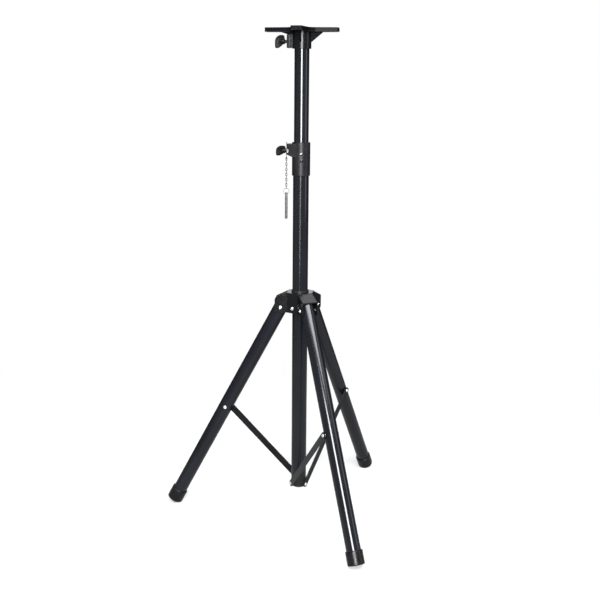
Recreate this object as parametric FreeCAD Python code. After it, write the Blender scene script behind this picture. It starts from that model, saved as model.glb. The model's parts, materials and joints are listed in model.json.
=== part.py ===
import FreeCAD, Part
import math
import os

# Speaker tripod stand: a telescoping two-tube column on three folding legs.
# Millimetres, +Z up, origin on the floor under the column axis.
# The legs hang on a hub that slides on the lower tube, and one flat brace per
# leg ties it to a bracket at the tube's bottom end.

V = FreeCAD.Vector
X_AXIS = V(1, 0, 0)
Y_AXIS = V(0, 1, 0)
Z_AXIS = V(0, 0, 1)
BIG = 3000.0

# ---- tripod geometry, stand open -------------------------------------------
LEG_NAMES = ("left", "front", "right")
LEG_AZIMUTHS = (174.0, 294.0, 54.0)
SPREAD = 27.9                 # leg tilt from vertical, degrees
PIVOT_R = 46.5                # leg pivot from the column axis
PIVOT_Z = 546.0
BRACE_PIN_DOWN_LEG = 304.5    # brace rivet from the leg pivot, along the leg
FOOT_PIN_Z = 73.4             # lower brace rivets

# ---- tubes -------------------------------------------------------------------
LOWER_R = 19.05
TUBE_WALL = 1.2
LOWER_Z0 = 100.0
LOWER_Z1 = 913.0
MAST_R = 17.5
MAST_Z0 = 470.0
MAST_Z1 = 1207.0
LEG_R = 17.5
LEG_TOP = 14.0                # tube above the pivot
LEG_PLUG_DEPTH = 30.0
LEG_CAP_THICK = 2.0
LEG_CAP_EDGE_R = 1.5
RUN_FIT = 0.06                # radial clearance of turning and sliding fits
FREE_GAP = 0.3                # radial clearance of loose holes and pockets

# ---- mast plug and guide bush ------------------------------------------------
PLUG_DEPTH = 25.0
PLUG_RIM = 2.0
PLUG_RIM_R = 17.0
PLUG_NECK_R = 9.0
PLUG_FOOT_R = 14.0
BUSH_LENGTH = 60.0
BUSH_LAND = 18.0
BUSH_RELIEF = 1.2
BUSH_END_PLAY = 0.4

# ---- safety pin holes --------------------------------------------------------
PIN_HOLE_R = 4.0
PIN_HOLE_Z = 921.0
PIN_HOLE_PITCH = 55.0
PIN_HOLE_COUNT = 8
PIN_HOLE_AZIMUTH = -87.0

# ---- rubber feet -------------------------------------------------------------
FOOT_R = 20.5
FOOT_LENGTH = 33.0
FOOT_FLOOR = 8.0              # rubber under the tube's end, on the axis
FOOT_EDGE_R = 2.4
FOOT_LIP_R = 1.5

# ---- braces and their rivets -------------------------------------------------
BRACE_WIDTH = 16.0
BRACE_THICK = 3.0
BRACE_INNER = 19.6            # inner face, from the leg's own radial plane
BRACE_RIVET_R = 3.0
RIVET_HEAD_R = 4.5
RIVET_HEAD_H = 2.0
BRACE_EDGE_R = 0.7
OPEN_GAP = 0.3                # gap between leg pin and brace stud

# ---- bottom bracket ----------------------------------------------------------
BRACKET_Z0 = 65.5
BRACKET_EDGE = 3.0
SPIGOT_LENGTH = 32.0
PAD_R = 7.8
PAD_FACE = 19.4
BRACKET_HOLE_ROOT = 10.0      # where the rivet holes end, from the column axis
BRACKET_HEAD_PLAY = 0.2       # play under each rivet head, so that the brace can turn

# ---- hub ---------------------------------------------------------------------
HUB_Z0 = 534.0
HUB_ROOF_Z = 584.0            # flat middle of the roof
WING_ROOF_R = 28.0            # where a wing's roof starts to fall
WING_END_R = 61.0
WING_END_Z = 568.0
WING_HALF = 20.8
SHEET = 2.5
WEB_R = 33.2
WEB_AZIMUTHS = (234.0, 354.0, 114.0)
HUB_EDGE_R = 2.2
WING_TOE_R = 5.0
SLEEVE_R = 21.5
SLEEVE_TOP = 588.0
SLEEVE_GAP = 0.08
SLEEVE_LIP_R = 1.0
WEB_RIVET_ROOT = 23.05        # where the web rivets end inside the slide bush
HUB_PAD_HALF = 8.0
HUB_PAD_TOP = 557.0
LOCK_PAD_TOP = 578.5          # the pad under the lock knob is taller
LOCK_AZIMUTH = 114.0
LOCK_Z = 563.0
PIVOT_RIVET_R = 4.0

# ---- collar ------------------------------------------------------------------
COLLAR_R = 21.8
COLLAR_Z0 = 869.5
COLLAR_Z1 = 948.5
COLLAR_EDGE = 1.0
MAST_BORE_R = 17.58
TUBE_BORE_R = 19.1
BOSS_Z0 = 914.5
BOSS_Z1 = 945.0
BOSS_END = 34.2
BOSS_END_HALF = 11.0
BOSS_ROOT_X = 5.5
BOSS_ROOT_HALF = 20.9
BOSS_CORNER_RISE = 5.5        # the boss's lower edge rises towards its end
BOSS_EDGE_R = 1.2
COLLAR_SCREW_Z = 928.5
NUT_SLOT_X0 = 30.8
NUT_SLOT_X1 = 33.2
NUT_HALF_HEIGHT = 4.2
NUT_HALF_WIDTH = 11.0
NUT_GAP = 0.1
TAB_THICK = 1.6
TAB_HALF_WIDTH = 10.0
TAB_Z1 = 949.0
TAB_TONGUE_R = 4.2
TAB_CORNER_R = 3.0
CHAIN_HOLE_Z = 913.0
CHAIN_HOLE_R = 1.9
COLLAR_RIVET_Z = 905.5
COLLAR_RIVET_R = 4.0
COLLAR_RIVET_H = 1.0

# ---- chain, split ring and safety pin ---------------------------------------
CHAIN_X = -35.1
LINK_WIRE_R = 0.6
LINK_PITCH = 6.25             # inner length of a link
LINK_WIDTH = 4.4
LINK_COUNT = 12
CHAIN_SLACK = 0.1             # free play at each contact
RING_R = 7.0
RING_WIRE_R = 0.75
PIN_R = 3.15
PIN_LENGTH = 64.0
PIN_EYE_DROP = 4.2            # ring's lowest point, below the pin's top
PIN_EYE_R = 1.9
PIN_EYE_PLAY = 0.4
PIN_EDGE_R = 1.6
PIN_NECK_DROP = 8.5
PIN_NECK_WIRE_R = 1.4         # round groove below the head
PIN_NECK_R = 3.95

# ---- top bracket -------------------------------------------------------------
PLATE_Z1 = 1210.0
PLATE_DEPTH = 9.5
PLATE_SHEET = 2.5
PLATE_CORNER_R = 3.0
PLATE_EDGE_R = 1.2
ARM_AZIMUTHS = (-9.0, 81.0, 171.0, 261.0)
ARM_TIP_R = 86.0
ARM_TIP_HALF = 13.0
ARM_NOTCH_CENTRE = 38.0
ARM_NOTCH_R = 19.0
PLATE_HOLE_R = 3.25
PLATE_HOLE_PCD = 140.0
SOCKET_R = 21.8
SOCKET_Z0 = 1162.5
SOCKET_EDGE = 1.0
GUSSET_THICK = 4.0
GUSSET_REACH = 49.0
GUSSET_FOOT_Z = 1177.5
GUSSET_TIP_Z = 1199.5
GUSSET_ROOT_R = 19.8          # ribs start inside the socket's wall
EAR_END = 34.4
EAR_HALF = 8.0
EAR_BLOCK_X = 25.4             # inner end of the ear's proud front block
EAR_BLOCK_FRONT = 12.0
EAR_Z0 = 1164.0
EAR_Z1 = 1195.0
EAR_AZIMUTH = 171.0
EAR_SCREW_Z = 1179.0
EAR_FILLET_R = 2.0

# ---- thumb screws ------------------------------------------------------------
SCREW_R = 4.0
SCREW_DEPTH = 9.0             # stud inside the knob
KNOB_BOW_R = 15.0             # round outer side of the leaf
KNOB_BOW_X = 8.0
KNOB_TIP_X = 13.5
KNOB_INNER_LOW = -3.0
KNOB_THICK = 8.0
KNOB_CORNER_R = 2.6
KNOB_EDGE_R = 2.3
KNOB_HUB_R = 6.2
KNOB_HUB_LENGTH = 13.0
KNOB_HUB_LIP = 0.8
KNOB_HUB_EDGE_R = 1.0
SCREW_EDGE_R = 0.8
PAD_BUTTON_R = 6.0
PAD_BUTTON_THICK = 2.0
CLAMP_TRAVEL = 4.5            # pocket behind each pad, for the loosened screw
TOP_KNOB_T = 40.8
COLLAR_KNOB_T = 37.2
LOCK_KNOB_T = 38.5
TOP_KNOB_ROLL = 0.0
COLLAR_KNOB_ROLL = 51.0
LOCK_KNOB_ROLL = 70.0

# ---- worked-out sizes ---------------------------------------------------------
SPREAD_RAD = math.radians(SPREAD)
RIM_DROP = (FOOT_R - FOOT_EDGE_R) * math.sin(SPREAD_RAD) + FOOT_EDGE_R
FOOT_END_U = FOOT_EDGE_R + (PIVOT_Z - RIM_DROP) / math.cos(SPREAD_RAD)
LEG_END_U = FOOT_END_U - FOOT_FLOOR
LEG_PIN_R = PIVOT_R + BRACE_PIN_DOWN_LEG * math.sin(SPREAD_RAD)
LEG_PIN_Z = PIVOT_Z - BRACE_PIN_DOWN_LEG * math.cos(SPREAD_RAD)
BRACE_LENGTH = math.hypot(LEG_PIN_R, LEG_PIN_Z - FOOT_PIN_Z)
BRACE_ANGLE = math.degrees(math.atan2(LEG_PIN_R, LEG_PIN_Z - FOOT_PIN_Z))
BRACE_OUTER = BRACE_INNER + BRACE_THICK
PLATE_UNDER = PLATE_Z1 - PLATE_SHEET
LOWER_BORE_R = LOWER_R - TUBE_WALL
MAST_BORE = MAST_R - TUBE_WALL


# ---- helpers -------------------------------------------------------------------
def spin(shape, angle, centre=V(0, 0, 0), axis=Z_AXIS):
    """A copy of a shape, turned by an angle in degrees."""
    turned = shape.copy()
    turned.rotate(centre, axis, angle)
    return turned


def move(shape, x=0.0, y=0.0, z=0.0):
    """A copy of a shape, shifted."""
    moved = shape.copy()
    moved.translate(V(x, y, z))
    return moved


def rod(radius, start, end):
    """A cylinder between two points."""
    axis = end - start
    return Part.makeCylinder(radius, axis.Length, start, axis)


def pipe(outer, inner, z0, z1):
    """A round tube on the column axis."""
    solid = Part.makeCylinder(outer, z1 - z0, V(0, 0, z0))
    bore = Part.makeCylinder(inner, z1 - z0, V(0, 0, z0))
    return solid.cut(bore)


def block(x0, x1, y0, y1, z0, z1):
    """A box between two corners."""
    return Part.makeBox(x1 - x0, y1 - y0, z1 - z0, V(x0, y0, z0))


def face_of(points):
    """A flat face with straight sides."""
    return Part.Face(Part.makePolygon(points + [points[0]]))


def prism(outline, z0, z1):
    """A plan outline of (x, y) points, raised from z0 to z1."""
    return face_of([V(x, y, z0) for x, y in outline]).extrude(V(0, 0, z1 - z0))


def slab(profile, y0, y1):
    """A side profile of (x, z) points, stretched from y0 to y1."""
    return face_of([V(x, y0, z) for x, z in profile]).extrude(V(0, y1 - y0, 0))


def rounded(shape, radius, wanted):
    """Round the edges for which wanted(edge) is true."""
    return shape.makeFillet(radius, [e for e in shape.Edges if wanted(e)])


def is_round(edge):
    """True for a circular edge."""
    return not edge.Degenerated and isinstance(edge.Curve, Part.Circle)


def is_along(edge, axis):
    """True for a straight edge parallel to an axis."""
    if edge.Degenerated or not isinstance(edge.Curve, (Part.Line, Part.LineSegment)):
        return False
    run = edge.Vertexes[-1].Point - edge.Vertexes[0].Point
    return abs(run.dot(axis)) > 0.999 * run.Length


def dome(radius, height):
    """A rivet's round head, standing on the plane z = 0."""
    ball_r = (radius ** 2 + height ** 2) / (2 * height)
    ball = Part.makeSphere(ball_r, V(0, 0, height - ball_r))
    return ball.common(Part.makeCylinder(radius, height))


def headed(shape_on_z, origin, axis):
    """Carry a shape built on +Z from the origin to a place and direction."""
    placed = shape_on_z.copy()
    placed.Placement = FreeCAD.Placement(origin, FreeCAD.Rotation(Z_AXIS, axis))
    return placed


def to_leg(shape, azimuth):
    """Carry a shape from the leg's frame, pivot at zero and leg along -Z."""
    tilted = spin(shape, -SPREAD, axis=Y_AXIS)
    return spin(move(tilted, x=PIVOT_R, z=PIVOT_Z), azimuth)


# ---- column ----------------------------------------------------------------------
def safety_holes(z):
    """One cross hole for the safety pin."""
    hole = rod(PIN_HOLE_R, V(0, 0, z), V(2 * COLLAR_R, 0, z))
    return spin(hole, PIN_HOLE_AZIMUTH).fuse(spin(hole, PIN_HOLE_AZIMUTH + 180.0))


def make_lower_tube():
    return pipe(LOWER_R, LOWER_BORE_R, LOWER_Z0, LOWER_Z1)


def make_upper_tube():
    tube = pipe(MAST_R, MAST_BORE, MAST_Z0, MAST_Z1)
    for step in range(PIN_HOLE_COUNT):
        tube = tube.cut(safety_holes(PIN_HOLE_Z - step * PIN_HOLE_PITCH))
    return tube


def make_mast_plug():
    """Plug in the mast's lower end, with a neck that carries the guide bush."""
    neck_end = MAST_Z0 - PLUG_RIM - BUSH_LENGTH - 2 * BUSH_END_PLAY
    plug = Part.makeCylinder(MAST_BORE, PLUG_DEPTH, V(0, 0, MAST_Z0))
    rim = Part.makeCylinder(PLUG_RIM_R, PLUG_RIM, V(0, 0, MAST_Z0 - PLUG_RIM))
    neck = Part.makeCylinder(PLUG_NECK_R, MAST_Z0 - PLUG_RIM - neck_end, V(0, 0, neck_end))
    foot = Part.makeCylinder(PLUG_FOOT_R, PLUG_RIM, V(0, 0, neck_end - PLUG_RIM))
    return plug.multiFuse([rim, neck, foot]).removeSplitter()


def make_guide_bush():
    """Slide bush with two lands that run in the lower tube."""
    top = MAST_Z0 - PLUG_RIM - BUSH_END_PLAY
    low = top - BUSH_LENGTH
    bush = Part.makeCylinder(LOWER_BORE_R - RUN_FIT, BUSH_LENGTH, V(0, 0, low))
    waist = pipe(LOWER_R, LOWER_BORE_R - BUSH_RELIEF, low + BUSH_LAND, top - BUSH_LAND)
    bore = Part.makeCylinder(PLUG_NECK_R + RUN_FIT, BUSH_LENGTH, V(0, 0, low))
    return bush.cut(waist).cut(bore)


def make_collar():
    """Clamp collar on top of the lower tube, with a tapered boss on its left."""
    body = Part.makeCylinder(COLLAR_R, COLLAR_Z1 - COLLAR_Z0, V(0, 0, COLLAR_Z0))
    body = rounded(body, COLLAR_EDGE, is_round)
    outline = [(-BOSS_ROOT_X, -BOSS_ROOT_HALF), (-BOSS_ROOT_X, BOSS_ROOT_HALF),
               (-BOSS_END, BOSS_END_HALF), (-BOSS_END, -BOSS_END_HALF)]
    boss = prism(outline, BOSS_Z0, BOSS_Z1)
    ramp = slab([(-BOSS_END - 1, BOSS_Z0 + BOSS_CORNER_RISE), (-COLLAR_R, BOSS_Z0),
                 (-COLLAR_R, BOSS_Z0 - 1), (-BOSS_END - 1, BOSS_Z0 - 1)], -BIG, BIG)
    boss = boss.cut(ramp)
    boss = rounded(boss, BOSS_EDGE_R, lambda e: e.BoundBox.XMax < -COLLAR_R)
    collar = body.fuse(boss)
    collar = collar.cut(Part.makeCylinder(MAST_BORE_R, BIG, V(0, 0, COLLAR_Z0 - 1)))
    collar = collar.cut(Part.makeCylinder(TUBE_BORE_R, LOWER_Z1 - COLLAR_Z0 + 1, V(0, 0, COLLAR_Z0 - 1)))
    collar = collar.cut(safety_holes(PIN_HOLE_Z))
    collar = collar.cut(rod(SCREW_R + RUN_FIT, V(0, 0, COLLAR_SCREW_Z), V(-BIG, 0, COLLAR_SCREW_Z)))
    pocket_end = MAST_R + PAD_BUTTON_THICK + CLAMP_TRAVEL
    pocket = rod(PAD_BUTTON_R + FREE_GAP, V(0, 0, COLLAR_SCREW_Z), V(-pocket_end, 0, COLLAR_SCREW_Z))
    collar = collar.cut(pocket)
    slot = block(-NUT_SLOT_X1, -NUT_SLOT_X0, -BIG, BIG,
                 COLLAR_SCREW_Z - NUT_HALF_HEIGHT, COLLAR_SCREW_Z + NUT_HALF_HEIGHT)
    collar = collar.cut(slot)
    rivet_hole = rod(BRACE_RIVET_R, V(0, 0, COLLAR_RIVET_Z), V(BIG, 0, COLLAR_RIVET_Z))
    return collar.cut(spin(rivet_hole, PIN_HOLE_AZIMUTH)).removeSplitter()


def make_collar_nut():
    """Bar nut in the boss's slot."""
    bar = block(-NUT_SLOT_X1 + NUT_GAP, -NUT_SLOT_X0 - NUT_GAP, -NUT_HALF_WIDTH, NUT_HALF_WIDTH,
                COLLAR_SCREW_Z - NUT_HALF_HEIGHT + NUT_GAP, COLLAR_SCREW_Z + NUT_HALF_HEIGHT - NUT_GAP)
    return bar.cut(rod(SCREW_R + RUN_FIT, V(0, 0, COLLAR_SCREW_Z), V(-BIG, 0, COLLAR_SCREW_Z)))


def make_chain_tab():
    """Steel tab between the boss and the thumb screw, which holds the chain."""
    x_inner = -BOSS_END - NUT_GAP
    x_outer = x_inner - TAB_THICK
    shoulder = BOSS_Z0 + BOSS_CORNER_RISE
    plate = block(x_outer, x_inner, -TAB_HALF_WIDTH, TAB_HALF_WIDTH, shoulder, TAB_Z1)
    plate = rounded(plate, TAB_CORNER_R, lambda e: is_along(e, X_AXIS))
    tongue = block(x_outer, x_inner, -TAB_TONGUE_R, TAB_TONGUE_R, CHAIN_HOLE_Z, COLLAR_SCREW_Z)
    tip = rod(TAB_TONGUE_R, V(x_outer, 0, CHAIN_HOLE_Z), V(x_inner, 0, CHAIN_HOLE_Z))
    tab = plate.multiFuse([tongue, tip]).removeSplitter()
    tab = tab.cut(rod(CHAIN_HOLE_R, V(-BIG, 0, CHAIN_HOLE_Z), V(0, 0, CHAIN_HOLE_Z)))
    return tab.cut(rod(SCREW_R + FREE_GAP, V(-BIG, 0, COLLAR_SCREW_Z), V(0, 0, COLLAR_SCREW_Z)))


def make_collar_rivet():
    """Blind rivet that fixes the collar to the lower tube."""
    cap = move(dome(COLLAR_RIVET_R, COLLAR_RIVET_H), z=COLLAR_R)
    skirt = Part.makeCylinder(COLLAR_RIVET_R, COLLAR_RIVET_H, V(0, 0, COLLAR_R - COLLAR_RIVET_H))
    head = cap.fuse(skirt)
    shank = Part.makeCylinder(BRACE_RIVET_R, COLLAR_R - LOWER_R, V(0, 0, LOWER_R))
    head = headed(head, V(0, 0, COLLAR_RIVET_Z), X_AXIS).cut(Part.makeCylinder(COLLAR_R, BIG))
    shank = headed(shank, V(0, 0, COLLAR_RIVET_Z), X_AXIS).cut(Part.makeCylinder(TUBE_BORE_R, BIG))
    return spin(head.fuse(shank), PIN_HOLE_AZIMUTH)


def make_bottom_bracket():
    """Bottom plug: brace pads outside, spigot inside the lower tube."""
    body = Part.makeCylinder(LOWER_R, LOWER_Z0 - BRACKET_Z0, V(0, 0, BRACKET_Z0))
    body = body.makeChamfer(BRACKET_EDGE, [e for e in body.Edges if e.BoundBox.ZMax < BRACKET_Z0 + 1])
    spigot = Part.makeCylinder(LOWER_BORE_R, SPIGOT_LENGTH, V(0, 0, LOWER_Z0))
    parts = [spigot]
    for azimuth in LEG_AZIMUTHS:
        pad = rod(PAD_R, V(0, -BRACKET_HOLE_ROOT, FOOT_PIN_Z), V(0, -PAD_FACE, FOOT_PIN_Z))
        parts.append(spin(pad, azimuth))
    bracket = body.multiFuse(parts).removeSplitter()
    for azimuth in LEG_AZIMUTHS:
        hole = rod(BRACE_RIVET_R, V(0, -BRACKET_HOLE_ROOT, FOOT_PIN_Z), V(0, -BIG, FOOT_PIN_Z))
        bracket = bracket.cut(spin(hole, azimuth))
    return bracket


def make_bottom_rivets():
    """Three rivets that carry the braces' lower ends."""
    seat = BRACE_OUTER + BRACKET_HEAD_PLAY
    shank = Part.makeCylinder(BRACE_RIVET_R, seat - BRACKET_HOLE_ROOT, V(0, 0, BRACKET_HOLE_ROOT))
    rivet = shank.fuse(move(dome(RIVET_HEAD_R, RIVET_HEAD_H), z=seat))
    placed = headed(rivet, V(0, 0, FOOT_PIN_Z), V(0, -1, 0))
    return Part.makeCompound([spin(placed, azimuth) for azimuth in LEG_AZIMUTHS])


# ---- legs ------------------------------------------------------------------------
def make_leg_tube():
    tube = pipe(LEG_R, LEG_R - TUBE_WALL, -LEG_END_U, LEG_TOP)
    tube = tube.cut(rod(PIVOT_RIVET_R + RUN_FIT, V(0, -BIG, 0), V(0, BIG, 0)))
    pin_z = -BRACE_PIN_DOWN_LEG
    return tube.cut(rod(BRACE_RIVET_R, V(0, -BIG, pin_z), V(0, BIG, pin_z)))


def make_leg_plug():
    """Plastic plug in the leg's upper end, which the pivot rivet passes."""
    plug = Part.makeCylinder(LEG_R - TUBE_WALL, LEG_PLUG_DEPTH, V(0, 0, LEG_TOP - LEG_PLUG_DEPTH))
    cap = Part.makeCylinder(LEG_R, LEG_CAP_THICK, V(0, 0, LEG_TOP))
    cap = rounded(cap, LEG_CAP_EDGE_R, lambda e: is_round(e) and e.BoundBox.ZMin > LEG_TOP + 1)
    plug = plug.fuse(cap).removeSplitter()
    return plug.cut(rod(PIVOT_RIVET_R + RUN_FIT, V(0, -BIG, 0), V(0, BIG, 0)))


def make_foot():
    """Rubber cap with a flat sole; the stand rests on the soles' inner rims."""
    body = Part.makeCylinder(FOOT_R, FOOT_LENGTH, V(0, 0, -FOOT_END_U))
    body = rounded(body, FOOT_EDGE_R, lambda e: is_round(e) and e.BoundBox.ZMax < -FOOT_END_U + 1)
    body = rounded(body, FOOT_LIP_R, lambda e: is_round(e) and e.BoundBox.ZMin > FOOT_LENGTH - FOOT_END_U - 1)
    return body.cut(Part.makeCylinder(LEG_R, BIG, V(0, 0, -LEG_END_U)))


def make_leg_pin():
    """Rivet through the leg; its shank stops short of the brace's plane."""
    far = BRACE_INNER - OPEN_GAP
    shank = Part.makeCylinder(BRACE_RIVET_R, LEG_R + far, V(0, 0, -LEG_R))
    head = spin(move(dome(RIVET_HEAD_R, RIVET_HEAD_H), z=LEG_R), 180.0, axis=Y_AXIS)
    washer = Part.makeCylinder(RIVET_HEAD_R, far - LEG_R, V(0, 0, LEG_R))
    return headed(shank.multiFuse([head, washer]), V(0, 0, -BRACE_PIN_DOWN_LEG), V(0, -1, 0))


# ---- braces ----------------------------------------------------------------------
def brace_frame(shape, azimuth):
    """Carry a brace from its own frame, lower pin at zero and bar along +Z."""
    tilted = spin(shape, BRACE_ANGLE, axis=Y_AXIS)
    return spin(move(tilted, z=FOOT_PIN_Z), azimuth)


def make_brace():
    """Flat bar with rounded ends and softened long edges."""
    half = BRACE_WIDTH / 2
    low = rod(half, V(0, -BRACE_INNER, 0), V(0, -BRACE_OUTER, 0))
    high = move(low, z=BRACE_LENGTH)
    web = block(-half, half, -BRACE_OUTER, -BRACE_INNER, 0, BRACE_LENGTH)
    bar = web.multiFuse([low, high]).removeSplitter()
    bar = rounded(bar, BRACE_EDGE_R, lambda e: e.BoundBox.YLength < 0.01)
    bar = bar.cut(rod(BRACE_RIVET_R + RUN_FIT, V(0, -BIG, 0), V(0, BIG, 0)))
    return bar.cut(rod(BRACE_RIVET_R, V(0, -BIG, BRACE_LENGTH), V(0, BIG, BRACE_LENGTH)))


def make_brace_stud():
    """The brace's half of its upper rivet: head and short shank."""
    shank = Part.makeCylinder(BRACE_RIVET_R, BRACE_THICK, V(0, 0, BRACE_INNER))
    stud = shank.fuse(move(dome(RIVET_HEAD_R, RIVET_HEAD_H), z=BRACE_OUTER))
    return headed(stud, V(0, 0, BRACE_LENGTH), V(0, -1, 0))


# ---- hub -------------------------------------------------------------------------
def hub_outline(inset):
    """Plan of the hub's middle: three webs, with corners where wings start."""
    web = WEB_R - inset
    half = WING_HALF - inset
    corner_r = (web - math.cos(math.radians(30)) * half) / math.cos(math.radians(60))
    points = []
    for azimuth in sorted(LEG_AZIMUTHS):
        turn = math.radians(azimuth)
        for side in (-half, half):
            x = corner_r * math.cos(turn) - side * math.sin(turn)
            y = corner_r * math.sin(turn) + side * math.cos(turn)
            points.append((x, y))
    return points


def wing(half, z0, end_r, drop):
    """One hub wing along +X, its roof falling towards the end."""
    profile = [(0, z0), (end_r, z0), (end_r, WING_END_Z - drop),
               (WING_ROOF_R, HUB_ROOF_Z - drop), (0, HUB_ROOF_Z - drop)]
    return slab(profile, -half, half)


def is_web_edge(edge):
    """True for an edge that lies along one of the hub's webs."""
    middle = (edge.Vertexes[0].Point + edge.Vertexes[-1].Point) * 0.5
    return math.hypot(middle.x, middle.y) > WEB_R - 1


def make_hub_shell():
    """Pressed shell: roof, three pairs of cheeks and three webs."""
    core = prism(hub_outline(0.0), HUB_Z0, HUB_ROOF_Z)
    core = rounded(core, HUB_EDGE_R, lambda e: e.BoundBox.ZMin > HUB_ROOF_Z - 1 and is_web_edge(e))
    wings = []
    for azimuth in LEG_AZIMUTHS:
        horn = wing(WING_HALF, HUB_Z0, WING_END_R, 0.0)
        horn = rounded(horn, WING_TOE_R, lambda e: is_along(e, Y_AXIS) and e.BoundBox.XMin > WING_ROOF_R
                       and e.BoundBox.ZMax < HUB_Z0 + 1)
        horn = rounded(horn, HUB_EDGE_R, lambda e: e.BoundBox.ZMin > PIVOT_Z
                       and e.BoundBox.XMax > WING_ROOF_R + 1)
        wings.append(spin(horn, azimuth))
    shell = core.multiFuse(wings).removeSplitter()
    shell = shell.cut(prism(hub_outline(SHEET), HUB_Z0 - 1, HUB_ROOF_Z - SHEET))
    for azimuth in LEG_AZIMUTHS:
        room = wing(WING_HALF - SHEET, HUB_Z0 - 1, WING_END_R + 2, SHEET)
        shell = shell.cut(spin(room, azimuth))
    shell = shell.cut(Part.makeCylinder(SLEEVE_R, BIG, V(0, 0, HUB_Z0)))
    for azimuth in LEG_AZIMUTHS:
        pivot = rod(PIVOT_RIVET_R, V(PIVOT_R, -BIG, PIVOT_Z), V(PIVOT_R, BIG, PIVOT_Z))
        shell = shell.cut(spin(pivot, azimuth))
    for azimuth in WEB_AZIMUTHS:
        shell = shell.cut(spin(rod(BRACE_RIVET_R, V(0, 0, PIVOT_Z), V(BIG, 0, PIVOT_Z)), azimuth))
    lock = rod(SCREW_R + RUN_FIT, V(0, 0, LOCK_Z), V(BIG, 0, LOCK_Z))
    return shell.cut(spin(lock, LOCK_AZIMUTH))


def make_hub_core():
    """Plastic slide bush with three pads that meet the shell's webs."""
    core = Part.makeCylinder(SLEEVE_R, SLEEVE_TOP - HUB_Z0, V(0, 0, HUB_Z0))
    core = rounded(core, SLEEVE_LIP_R, lambda e: is_round(e) and e.BoundBox.ZMin > HUB_Z0 + 1)
    pads = []
    for azimuth in WEB_AZIMUTHS:
        top = LOCK_PAD_TOP if azimuth == LOCK_AZIMUTH else HUB_PAD_TOP
        pad = block(0, WEB_R - SHEET, -HUB_PAD_HALF, HUB_PAD_HALF, HUB_Z0 + 1, top)
        pads.append(spin(pad, azimuth))
    core = core.multiFuse(pads).removeSplitter()
    core = core.cut(Part.makeCylinder(LOWER_R + SLEEVE_GAP, BIG, V(0, 0, HUB_Z0 - 1)))
    for azimuth in WEB_AZIMUTHS:
        hole = rod(BRACE_RIVET_R, V(WEB_RIVET_ROOT, 0, PIVOT_Z), V(BIG, 0, PIVOT_Z))
        core = core.cut(spin(hole, azimuth))
    lock = rod(SCREW_R + RUN_FIT, V(0, 0, LOCK_Z), V(BIG, 0, LOCK_Z))
    pocket_end = LOWER_R + PAD_BUTTON_THICK + CLAMP_TRAVEL
    pocket = rod(PAD_BUTTON_R + FREE_GAP, V(0, 0, LOCK_Z), V(pocket_end, 0, LOCK_Z))
    return core.cut(spin(lock.fuse(pocket), LOCK_AZIMUTH))


def make_web_rivets():
    """Three rivets that fix the shell's webs to the slide bush."""
    shank = Part.makeCylinder(BRACE_RIVET_R, WEB_R - WEB_RIVET_ROOT, V(0, 0, WEB_RIVET_ROOT))
    rivet = shank.fuse(move(dome(RIVET_HEAD_R, RIVET_HEAD_H), z=WEB_R))
    placed = headed(rivet, V(0, 0, PIVOT_Z), X_AXIS)
    return Part.makeCompound([spin(placed, azimuth) for azimuth in WEB_AZIMUTHS])


def make_pivot_rivets():
    """Three long rivets, one through each pair of cheeks and its leg."""
    shank = Part.makeCylinder(PIVOT_RIVET_R, 2 * WING_HALF, V(0, 0, -WING_HALF))
    head = move(dome(RIVET_HEAD_R, RIVET_HEAD_H), z=WING_HALF)
    rivet = shank.multiFuse([head, spin(head, 180.0, axis=X_AXIS)])
    placed = headed(rivet, V(PIVOT_R, 0, PIVOT_Z), V(0, -1, 0))
    return Part.makeCompound([spin(placed, azimuth) for azimuth in LEG_AZIMUTHS])


# ---- thumb screws ------------------------------------------------------------------
def screw_frame(shape, roll, height, azimuth):
    """Carry a thumb screw part from +X at zero to its clamp."""
    return spin(move(spin(shape, roll, axis=X_AXIS), z=height), azimuth)


def make_knob(start):
    """Leaf-shaped thumb knob: a round outer side that ends in a low pointed tip."""
    y = -KNOB_THICK / 2
    inner_top = V(0, y, math.sqrt(KNOB_BOW_R ** 2 - KNOB_BOW_X ** 2))
    crown = V(KNOB_BOW_X, y, KNOB_BOW_R)
    outer = V(KNOB_BOW_X + KNOB_BOW_R, y, 0)
    tip = V(outer.x, y, -KNOB_BOW_R)
    tip_inner = V(KNOB_TIP_X, y, -KNOB_BOW_R)
    inner_low = V(0, y, KNOB_INNER_LOW)
    sides = [Part.Arc(inner_top, crown, outer).toShape()]
    for first, second in ((outer, tip), (tip, tip_inner), (tip_inner, inner_low), (inner_low, inner_top)):
        sides.append(Part.LineSegment(first, second).toShape())
    paddle = Part.Face(Part.Wire(sides)).extrude(V(0, KNOB_THICK, 0))
    paddle = rounded(paddle, KNOB_CORNER_R, lambda e: is_along(e, Y_AXIS))
    paddle = rounded(paddle, KNOB_EDGE_R, lambda e: e.BoundBox.YLength < 0.01)
    hub = Part.makeCylinder(KNOB_HUB_R, KNOB_HUB_LENGTH, V(-KNOB_HUB_LIP, 0, 0), X_AXIS)
    hub = rounded(hub, KNOB_HUB_EDGE_R, is_round)
    knob = move(paddle.fuse(hub).removeSplitter(), x=start)
    return knob.cut(rod(SCREW_R, V(0, 0, 0), V(start + SCREW_DEPTH, 0, 0)))


def make_screw(tip, start):
    """Steel stud from the clamp pad into the knob."""
    stud = rod(SCREW_R, V(tip, 0, 0), V(start + SCREW_DEPTH, 0, 0))
    return rounded(stud, SCREW_EDGE_R, is_round)


def make_clamp_pad(tube_r):
    """Round pad between the stud's end and the tube, hollowed to the tube."""
    back = tube_r + PAD_BUTTON_THICK
    disc = rod(PAD_BUTTON_R, V(tube_r - PAD_BUTTON_THICK, 0, 0), V(back, 0, 0))
    return disc.cut(Part.makeCylinder(tube_r + RUN_FIT, 4 * PAD_BUTTON_R, V(0, 0, -2 * PAD_BUTTON_R)))


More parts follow.
